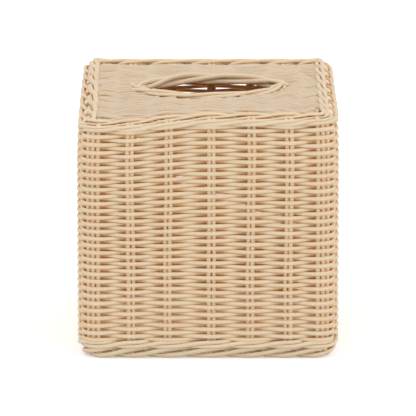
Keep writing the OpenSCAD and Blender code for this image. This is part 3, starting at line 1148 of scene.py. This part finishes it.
@dataclass
class SlotRim:
    """Rolled rim of the slot, three rods that twist round each other."""

    shop: CaneShop
    sizes: CoverSizes = field(default_factory=CoverSizes)
    rod_r: float = 1.17
    turns: int = 3
    steps: int = 168
    table_step: float = 5.0
    # Degrees of a quarter of the way round the slot
    quarter: float = 90.0
    # Ends of two rods that are tucked across the rim's right end, from where each comes out
    tails: tuple[tuple[Place, Place], ...] = (
        ((34.8, 8.4, 1.2), (45.6, -1.8, 0.7)),
        ((35.5, -8.2, 0.9), (46.2, 3.2, 0.1)),
    )
    tail_rings: int = 10
    tail_end: float = 0.07
    tail_share: float = 0.9
    tail_hump: float = 0.9
    tail_facets: int = 9
    # Which part of the rim is its far side, its near side, its left end, and where each shaping lies
    side_fade: Fade = Fade(2.0, 12.0)
    left_end: Fade = Fade(24.0, 40.0)
    left_pinch: Fade = Fade(20.0, 34.0)
    left_raise: Fade = Fade(8.0, 32.0)
    right_of_hang: Fade = Fade(-8.0, 16.0)
    hang_loss: float = 0.45
    pinch: float = 0.25
    lift: float = 0.8
    # The lay's unevenness round the slot, and how far it is ahead on the far side
    lay_wave: float = 0.3
    lay_waves: int = 2
    lay_start: float = 0.8
    lay_ahead: float = 0.45
    # How the rope broadens and flattens at its left end, hangs on the far side and flattens on the near
    fan_width: float = 0.5
    fan_flat: float = 0.35
    fan_drop: float = 0.4
    hang_rise: float = 0.35
    hang_drop: float = 0.9
    hang_thick: float = 0.3
    near_flat: float = 0.32
    near_thin: float = 0.1
    facets: int = 10
    tones: tuple[float, ...] = (-0.2, 0.15, 0.05)
    shade_from: float = 0.16

    def middle(self, angle: np.ndarray) -> tuple[np.ndarray, np.ndarray]:
        """The rim's middle in plan.

        Args:
            angle: Angles round the slot.

        Returns:
            The places, and the directions outwards.
        """
        sizes = self.sizes
        cos, sin, share = np.cos(angle), np.sin(angle), sizes.rim_point_share
        place = np.column_stack([sizes.rim_a * cos, sizes.rim_b * sin * (1 - share * cos * cos)])
        along_y = sizes.rim_b * cos * (1 - share * cos * cos + 2 * share * sin * sin)
        out = np.column_stack([along_y, sizes.rim_a * sin])
        return place, out / np.linalg.norm(out, axis=1, keepdims=True)

    def clear_line(self) -> np.ndarray:
        """The line just outside the rim, from its right end to its back.

        Returns:
            One row of x and y for each point.
        """
        angle = np.radians(np.arange(0.0, self.quarter + self.table_step, self.table_step))
        place, out = self.middle(angle)
        return place + out * (self.sizes.rim_lay_r + self.rod_r)

    def clear_y(self, x: float) -> float:
        """Distance from front to back of the rim's outside at x, or 0 past its ends."""
        line = self.clear_line()
        return 0.0 if x > line[0, 0] else float(np.interp(x, line[::-1, 0], line[::-1, 1]))

    def clear_x(self, y: float) -> float:
        """Distance from left to right of the rim's outside at y."""
        line = self.clear_line()
        return float(np.interp(y, line[:, 1], line[:, 0]))

    def build(self) -> None:
        """Builds the three rods."""
        sizes = self.sizes
        angle = np.linspace(0.0, FULL_TURN, self.steps + 1)
        place, out = self.middle(angle)
        x, y = place[:, 0].copy(), place[:, 1].copy()
        fan = self.left_end.at(-x)
        far, near = self.side_fade.at(y), self.side_fade.at(-y)
        hang = far * (1.0 - self.hang_loss * self.right_of_hang.at(x))
        raised = self.lift * near * self.left_raise.at(-x)
        place[:, 1] *= 1.0 - self.pinch * far * self.left_pinch.at(-x)
        uneven = self.lay_wave * np.sin(self.lay_waves * angle + self.lay_start) + self.lay_ahead * far
        width = sizes.rim_lay_r * (1.0 + self.fan_width * fan)
        height = sizes.rim_lay_r * (
            1.0 - self.fan_flat * fan + self.hang_rise * hang - self.near_flat * near
        )
        for rod in range(ROPE_RODS):
            lay = self.turns * angle + ROPE_TURN * rod + uneven
            plan = place + out * (width * np.cos(lay))[:, None]
            rise = height * np.sin(lay) + raised - self.fan_drop * fan - self.hang_drop * hang
            centre = np.column_stack([plan, sizes.rim_z + rise])
            centre[-1] = centre[0]
            strands = [Strand(
                centre=centre,
                thick=self.rod_r * (1.0 + self.hang_thick * hang - self.near_thin * near),
                broad=np.full(len(angle), self.rod_r),
                up=np.column_stack([-out, np.zeros(len(out))]),
                closed=True,
                facets=self.facets,
                tone=self.tones[rod],
                shade_from=self.shade_from,
            )]
            if rod:
                strands.append(self.tail(*self.tails[rod - 1]))
            self.shop.piece(f"twisted_rim_rod_{rod + 1}", strands, Slot.ROPE, f"slot_rim_rod_{rod + 1}")

    def tail(self, start: Place, stop: Place) -> Strand:
        """The end of a rim rod, tucked across the rim's right end.

        Args:
            start: Where it comes out, from the middle of the slot.
            stop: Where it was cut.

        Returns:
            The rod's end.
        """
        share, shrink = rounded_run(0.0, 1.0, self.tail_rings, self.tail_end)
        centre = np.array(start) + share[:, None] * (np.array(stop) - np.array(start))
        centre[:, 2] += self.sizes.rim_z + self.tail_hump * np.sin(math.pi * share)
        radius = self.tail_share * self.rod_r * shrink
        up = np.array([0.0, 1.0, 0.0])
        return Strand(centre=centre, thick=radius, broad=radius, up=up, facets=self.tail_facets)


@dataclass
class TopRows:
    """Rows of the top, left to right, over and under the level legs of the long stakes."""

    shop: CaneShop
    ring: StakeRing
    rim: SlotRim
    sizes: CoverSizes = field(default_factory=CoverSizes)
    cap: float = 0.7
    half_w: float = 1.17
    swell: float = 0.05
    tuck: float = 2.4
    right_tuck: float = 1.2
    left_stop: float = 35.5
    left_notch: float = 3.2
    right_notch: float = 4.6
    notch_w: float = 2.2
    seed: int = 37
    # Gap between a row and its neighbour or the rope, and how far rows go in under the rim
    gap: float = 0.1
    under_rim: float = 1.3
    # How much further out the rim is looked up for the back left rows
    back_left_extra: float = 2.2
    ring_step: float = 2.2
    least_rings: int = 4
    # How near to a stake a row has finished passing it
    level: float = 0.5
    # Half width of the rows, how far from it their waves are whole, and the swing that is left there
    reach: float = 65.0
    end_fade: Fade = Fade(0.0, 6.0)
    end_swing: float = 0.4
    # Waves that all rows share, stronger to the right, and each row's own sideways and up
    shared_waves: tuple[Wave, ...] = (Wave(0.45, 13.0, 0.06), Wave(0.22, 6.5, -0.13))
    right_fade: Fade = Fade(25.0, 58.0)
    right_more: float = 1.2
    outer_fade: Fade = Fade(40.0, 60.0)
    outer_more: float = 1.5
    own_height: float = 0.1
    own_length: float = 5.0
    heave: Wave = Wave(0.14, 7.0)
    # How far from the rope a row's shared waves are whole, and the first and last rows' fall to it
    edge_width: int = 8
    front_drop: tuple[float, float] = (0.9, 0.45)
    back_drop: tuple[float, float] = (1.3, 0.4)
    lift_spread: float = 0.1
    tone_spread: float = 0.3
    # Painted shade on the rows' hidden side, and its strength where a row dives under a stake
    shade: float = 0.45
    dive_depth: float = 0.08

    def build(self) -> None:
        """Builds the rows in front of, behind and beside the slot."""
        rng = np.random.default_rng(self.seed)
        sizes = self.sizes
        inner = sizes.edge_inner + self.gap
        pieces: dict[str, list[Strand]] = {
            "top_rows_front": [], "top_rows_back": [], "slot_rows_left": [], "slot_rows_right": []
        }
        clear_w = self.rim.clear_line()[-1, 1] + self.gap
        for row in range(sizes.top_row_count):
            low = inner - sizes.stake_out + row * sizes.top_row_pitch
            high = low + sizes.top_row_pitch - self.gap
            y = (low + high) / 2
            near = 0.0 if low <= 0 <= high else min(abs(low), abs(high))
            end = self.row_end(max(abs(low), abs(high)) - sizes.run_half, inner)
            left = -end - self.tuck + self.left_notch * self.beside_pair(y, -self.ring.local[3])
            right = end + self.right_tuck - self.right_notch * self.beside_pair(y, self.ring.local[1])
            if near >= clear_w:
                name = "top_rows_front" if y < 0 else "top_rows_back"
                pieces[name].append(self.cane(row, y, left, right, rng))
            else:
                extra = self.back_left_extra if y > 0 else 0.0
                reach = min(self.left_stop, self.rim_stop(abs(y) + extra))
                pieces["slot_rows_left"].append(self.cane(row, y, left, -reach, rng))
                pieces["slot_rows_right"].append(self.cane(row, y, self.rim_stop(abs(y)), right, rng))
        for name, strands in pieces.items():
            self.shop.piece(f"woven_{name}", strands, Slot.TOP, name)

    def row_end(self, past: float, inner: float) -> float:
        """Where a row's right end meets the edge rope.

        Args:
            past: How far the row reaches past the straight run of the side walls, below 0 for not at all.
            inner: Distance from the stakes' line to the rope's inside.

        Returns:
            The distance from the middle of the cover.
        """
        if past <= 0:
            return self.sizes.stake_out - inner
        inner_r = self.sizes.mid_r - inner
        return self.sizes.run_half + math.sqrt(max(0.0, inner_r ** 2 - past ** 2))

    def rim_stop(self, y: float) -> float:
        """How far from the middle a row at y ends under the rim."""
        return max(0.0, self.rim.clear_x(y) - self.under_rim)

    def beside_pair(self, y: float, pairs: np.ndarray) -> float:
        """How near, from 0 to 1, a row is to a pair of side stakes that dives beside its end."""
        return math.exp(-(float(np.abs(pairs - y).min()) / self.notch_w) ** 2)

    def sway(self, x: np.ndarray, row: int) -> np.ndarray:
        """How far above, at 1, or below, at -1, the stakes a row of the top is.

        Args:
            x: Places from left to right.
            row: Number of the row, from front to back.

        Returns:
            Values from -1 to 1.
        """
        stakes = self.ring.local[0]
        left = np.clip(np.searchsorted(stakes, x, side="right") - 1, 0, PER_SIDE - 2)
        gap = stakes[left + 1] - stakes[left]
        way = np.clip((x - stakes[left] - self.level) / (gap - 2 * self.level), 0.0, 1.0)
        sign = np.where((left + row) % 2 == 0, 1.0, -1.0)
        return sign * cane_slope(way)

    def cane(self, row: int, y: float, start: float, stop: float, rng: np.random.Generator) -> Strand:
        """One cane of the top.

        Args:
            row: Number of the row, from front to back.
            y: Where it lies, front to back.
            start: Its left end.
            stop: Its right end.
            rng: Source of the small irregularities.

        Returns:
            The cane.
        """
        sizes = self.sizes
        rings = max(self.least_rings, int((stop - start) / self.ring_step))
        x, shrink = rounded_run(start, stop, rings, self.cap)
        sway = self.sway(x, row)
        ends = self.end_fade.at(np.minimum(x + self.reach, self.reach - x))
        right = 1.0 + self.right_more * self.right_fade.at(x)
        common = right * sum(wave.at(x, row) for wave in self.shared_waves)
        loose = 1.0 + self.outer_more * self.outer_fade.at(np.abs(x))
        own = self.own_height * loose * np.cos(x / self.own_length + rng.uniform(0, FULL_TURN))
        heave = loose * self.heave.at(x, rng.uniform(0, FULL_TURN))
        edge = min(1.0, abs(abs(y) - sizes.stake_out + sizes.edge_inner) / self.edge_width)
        fat = 1.0 + FAT_SPREAD * rng.normal()
        swing = sizes.top_swing * sway * (self.end_swing + (1.0 - self.end_swing) * ends)
        lift = rng.normal(0.0, self.lift_spread) + heave * ends - self.drop(row)
        z = sizes.top_z + sizes.top_lift + swing + lift
        return Strand(
            centre=np.column_stack([x, y + (common * edge + own) * ends, z]),
            thick=sizes.cane_half_t * fat * shrink,
            broad=(self.half_w + self.swell * np.abs(sway)) * fat * shrink,
            up=np.array([0.0, 1.0, 0.0]),
            tone=float(rng.normal(0.0, self.tone_spread)),
            squareness=WOVEN_SQUARENESS,
            shade=self.shade,
            # Painted shade where the cane dives under a stake
            depth=self.dive_depth * DIVE_SHADE.at(-sway),
        )

    def drop(self, row: int) -> float:
        """How far a row falls towards the edge rope in front of it or behind it.

        Args:
            row: Number of the row, from front to back.

        Returns:
            The fall, which is 0 away from the rope.
        """
        from_back = self.sizes.top_row_count - 1 - row
        return sum(
            max(0.0, most - less * rows)
            for (most, less), rows in ((self.front_drop, row), (self.back_drop, from_back))
        )


@dataclass
class Ropes:
    """The two wales round the walls and the rope on the top's edge, of three rods each."""

    shop: CaneShop
    ring: StakeRing
    sizes: CoverSizes = field(default_factory=CoverSizes)
    rod_r: float = 1.2
    edge_rod_r: float = 1.16
    side_rise: float = 0.3
    tilt: float = 0.8
    steps: int = 9
    joint: int = 16
    seed: int = 41
    # Where on its three laps a rope's long strand is cut into rods, each time inside the stakes
    cuts: tuple[int, ...] = (0, 27, 57, 84)
    end: float = 0.06
    # Swing of a rod to and from the stakes: its mean, and its first and second harmonics
    mean_swing: float = 1 / 3
    swing: float = 1.06
    second_swing: float = -0.273
    # Where the edge rope lies on a side wall, towards the back and towards the front
    beside: Fade = Fade(-6.0, 14.0)
    backwards: Fade = Fade(-50.0, 60.0)
    not_front: Fade = Fade(-66.0, 60.0)
    back_left_share: float = 0.6
    # How the edge rope's height changes at the front and at the sides
    front_flat: float = 0.12
    side_flat: float = 0.2
    front_drop: float = 0.5
    side_lift: float = 0.35
    left_fat: float = 0.3
    right_fat: float = 0.1
    facets: int = 10
    tone_spread: float = 0.2
    # Painted shade on the hidden side: how strong, and from where round the section, on the wales and on
    # the edge rope
    wale_shade: tuple[float, float] = (0.55, 0.16)
    edge_shade: tuple[float, float] = (0.85, 0.11)

    def swings(self, angle: np.ndarray) -> tuple[np.ndarray, np.ndarray]:
        """Where a rod of a rope is as the rope's lay turns.

        Args:
            angle: The lay's angle.

        Returns:
            How far the rod is to the outside of the stakes, and how far across.
        """
        to = self.mean_swing + self.swing * np.cos(angle) + self.second_swing * np.cos(2 * angle)
        return self.sizes.rope_reach * to, self.sizes.rope_rise * np.sin(angle)

    def build(self) -> None:
        """Builds the nine rods."""
        sizes = self.sizes
        rng = np.random.default_rng(self.seed)
        for rod, (start, stop) in enumerate(zip(self.cuts, self.cuts[1:])):
            stations, shrink = rounded_run(
                float(self.joint + start), float(self.joint + stop), (stop - start) * self.steps, self.end
            )
            to, across = self.swings(math.pi + ROPE_TURN * (self.ring.lay(stations) - self.joint))
            wale_r = self.rod_r * shrink
            high = sizes.high_wale_z + across * sizes.high_wale_share
            self.rod("upper_wale_rod", rod, self.ring.point(stations, to), high, wale_r, rng)
            low = sizes.low_wale_z + across
            self.rod("lower_wale_rod", rod, self.ring.point(stations, to), low, wale_r, rng)
            self.edge_rod(rod, stations, to, across, shrink, rng)

    def edge_rod(self, rod: int, stations: np.ndarray, to: np.ndarray, across: np.ndarray,
                 shrink: np.ndarray, rng: np.random.Generator) -> None:
        """Builds one rod of the rope on the top's edge.

        Args:
            rod: Number of the rod, from 0.
            stations: Where along the ring its rings are.
            to: How far each ring is above the stakes' bent ends.
            across: How far each ring is across the rope.
            shrink: Share of the full radius at each ring.
            rng: Source of the rod's tone.
        """
        sizes = self.sizes
        x, y = self.ring.point(stations, np.zeros(len(stations))).T
        beside = self.beside.at(np.abs(x) - np.abs(y))
        back_left = self.backwards.at(y) * (x < 0)
        inset = sizes.edge_inset + sizes.side_inset * beside * (1.0 - self.back_left_share * back_left)
        out = -inset - across * (1.0 + self.side_rise * beside)
        front = 1.0 - self.not_front.at(y)
        z = sizes.top_z + to * (1.0 - self.front_flat * front - self.side_flat * beside)
        z = z + (self.tilt * across - self.front_drop) * front + self.side_lift * beside
        radius = self.edge_rod_r * (1.0 + np.where(x < 0, self.left_fat, self.right_fat) * beside) * shrink
        plan = self.ring.point(stations, out)
        inwards = np.column_stack([plan - self.ring.point(stations, out + 1.0), np.zeros(len(plan))])
        self.rod("edge_rope_rod", rod, plan, z, radius, rng, inwards, self.edge_shade)

    def rod(self, node: str, rod: int, plan: np.ndarray, z: np.ndarray, radius: np.ndarray,
            rng: np.random.Generator, up: np.ndarray = UPWARDS,
            shade: tuple[float, float] = wale_shade) -> None:
        """Builds one rod of a rope.

        Args:
            node: Name of its CAD node, without the number.
            rod: Number of the rod, from 0.
            plan: Its places in plan.
            z: Its heights.
            radius: Its radius at each ring.
            rng: Source of the rod's tone.
            up: The directions that its sides are set out from.
            shade: How strong the painted shade on its hidden side is, and from where.
        """
        strand = Strand(
            centre=np.column_stack([plan, z]), thick=radius, broad=radius, up=up, facets=self.facets,
            tone=float(rng.normal(0.0, self.tone_spread)), shade=shade[0], shade_from=shade[1],
        )
        self.shop.piece(f"twisted_{node}_{rod + 1}", [strand], Slot.ROPE, f"{node}_{rod + 1}")


@dataclass
class Border:
    """Laid border round the mouth, of one rod started at each stake pair."""

    shop: CaneShop
    ring: StakeRing
    sizes: CoverSizes = field(default_factory=CoverSizes)
    rod_r: float = 1.46
    seed: int = 53
    # Gaps that a rod runs through, its rings, and the length of its rounded ends in stations
    gaps: int = 3
    rings: int = 30
    end: float = 0.06
    facets: int = 10
    tone: float = 0.05
    tone_spread: float = 0.22

    def build(self) -> None:
        """Builds the four sides of the border."""
        rng = np.random.default_rng(self.seed)
        for side, name in enumerate(SIDE_NAMES):
            strands = [self.rod(side * PER_SIDE + place, rng) for place in range(PER_SIDE)]
            self.shop.piece(f"laid_border_{name}", strands, Slot.ROPE, f"border_{name}", floor=True)

    def rod(self, first: int, rng: np.random.Generator) -> Strand:
        """One rod, from inside the wall, out under two gaps and back in.

        Args:
            first: The station it starts at.
            rng: Source of the small irregularities.

        Returns:
            The rod.
        """
        sizes = self.sizes
        stations, shrink = rounded_run(float(first), float(first + self.gaps), self.rings, self.end)
        angle = math.pi + FULL_TURN / self.gaps * (stations - first)
        plan = self.ring.point(stations, sizes.border_lay_r * np.cos(angle))
        centre = np.column_stack([plan, sizes.border_z + sizes.border_rise * np.sin(angle)])
        radius = self.rod_r * shrink * (1.0 + FAT_SPREAD * rng.normal())
        return Strand(
            centre=centre, thick=radius, broad=radius, up=UPWARDS, facets=self.facets,
            tone=float(rng.normal(self.tone, self.tone_spread)),
        )


@dataclass(frozen=True)
class Studio:
    """Pale floor, soft light and the camera of the photograph, in metres."""

    floor_size: float = 8.0
    floor_colour: tuple[float, float, float] = (0.86, 0.86, 0.86)
    floor_roughness: float = 0.9
    world_strength: float = 0.86
    lamp_angle: float = 50.0
    camera_white: float = 0.36
    camera_distance: float = 2.5
    camera_elevation: float = 14.4
    aim: Place = (0.0, 0.0, 0.0688)
    pivot_z: float = 0.0705
    lens: float = 379.9
    sensor_width: float = 36.0
    clip: tuple[float, float] = (0.1, 50.0)
    white: tuple[float, ...] = (1.0, 1.0, 1.0, 1.0)
    # Each lamp's name, strength and place
    hung_lamps: tuple[tuple[str, float, Place], ...] = (
        ("left_lamp", 0.39, (-1.3, -1.1, 1.5)), ("right_lamp", 0.53, (1.5, -1.0, 1.15))
    )

    def build(self) -> None:
        """Builds the floor, the lights and the camera."""
        self.floor()
        self.world()
        self.lamps()
        self.camera()

    def floor(self) -> None:
        """Lays the floor, which the camera sees as white apart from the object's shadow."""
        bm = bmesh.new()
        bmesh.ops.create_grid(bm, x_segments=1, y_segments=1, size=self.floor_size / 2)
        mesh = bpy.data.meshes.new("studio_floor")
        bm.to_mesh(mesh)
        bm.free()
        made = bpy.data.objects.new("studio_floor", mesh)
        bpy.context.scene.collection.objects.link(made)
        finish = bpy.data.materials.new("studio_floor")
        finish.use_nodes = True
        shader = finish.node_tree.nodes["Principled BSDF"]
        shader.inputs["Base Color"].default_value = (*self.floor_colour, 1.0)
        shader.inputs["Roughness"].default_value = self.floor_roughness
        shader.inputs["Emission Color"].default_value = self.white
        path = finish.node_tree.nodes.new("ShaderNodeLightPath")
        glow = finish.node_tree.nodes.new("ShaderNodeMath")
        glow.operation = "MULTIPLY"
        glow.inputs[1].default_value = self.camera_white
        finish.node_tree.links.new(path.outputs["Is Camera Ray"], glow.inputs[0])
        finish.node_tree.links.new(glow.outputs[0], shader.inputs["Emission Strength"])
        mesh.materials.append(finish)

    def world(self) -> None:
        """Sets an even white world."""
        world = bpy.data.worlds.new("studio_world")
        world.use_nodes = True
        nodes, links = world.node_tree.nodes, world.node_tree.links
        background = nodes["Background"]
        path = nodes.new("ShaderNodeLightPath")
        level = nodes.new("ShaderNodeMix")
        level.data_type = "FLOAT"
        for number, strength in zip(MIX_NUMBERS, (self.world_strength, 1.0)):
            level.inputs[number].default_value = strength
        links.new(path.outputs["Is Camera Ray"], level.inputs[MIX_SHARE])
        links.new(level.outputs[MIX_NUMBER], background.inputs["Strength"])
        background.inputs["Color"].default_value = self.white
        bpy.context.scene.world = world

    def lamps(self) -> None:
        """Hangs a large soft lamp on each side of the camera."""
        for name, strength, place in self.hung_lamps:
            lamp = bpy.data.lights.new(name, "SUN")
            lamp.angle = math.radians(self.lamp_angle)
            lamp.energy = strength
            self.point_at_aim(name, lamp, place)

    def camera(self) -> None:
        """Sets up the photograph's camera."""
        data = bpy.data.cameras.new("photo_camera")
        data.lens = self.lens
        data.sensor_width = self.sensor_width
        data.clip_start, data.clip_end = self.clip
        tilt = math.radians(self.camera_elevation)
        back, up = self.camera_distance * math.cos(tilt), self.camera_distance * math.sin(tilt)
        place = (0.0, -back, self.pivot_z + up)
        bpy.context.scene.camera = self.point_at_aim("photo_camera", data, place)

    def point_at_aim(self, name: str, data: bpy.types.Light | bpy.types.Camera,
                     place: Place) -> bpy.types.Object:
        """Puts a lamp or the camera in its place and turns it to the object.

        Args:
            name: Name of the object.
            data: The lamp or the camera.
            place: Where it stands.

        Returns:
            The object.
        """
        made = bpy.data.objects.new(name, data)
        made.location = place
        made.rotation_mode = "QUATERNION"
        made.rotation_quaternion = (Vector(self.aim) - made.location).to_track_quat("-Z", "Y")
        bpy.context.scene.collection.objects.link(made)
        return made


def main() -> None:
    """Builds the cover and its studio."""
    logging.basicConfig(level=logging.INFO, format="%(name)s: %(message)s")
    bpy.context.scene.view_settings.view_transform = "Standard"
    sizes = CoverSizes()
    ring = StakeRing(sizes)
    shop = CaneShop()
    rim = SlotRim(shop, sizes)
    WallRows(shop, ring, sizes).build()
    Stakes(shop, ring, rim, sizes).build()
    TopRows(shop, ring, rim, sizes).build()
    rim.build()
    Ropes(shop, ring, sizes).build()
    Border(shop, ring, sizes).build()
    Studio().build()


if __name__ == "__main__":
    main()
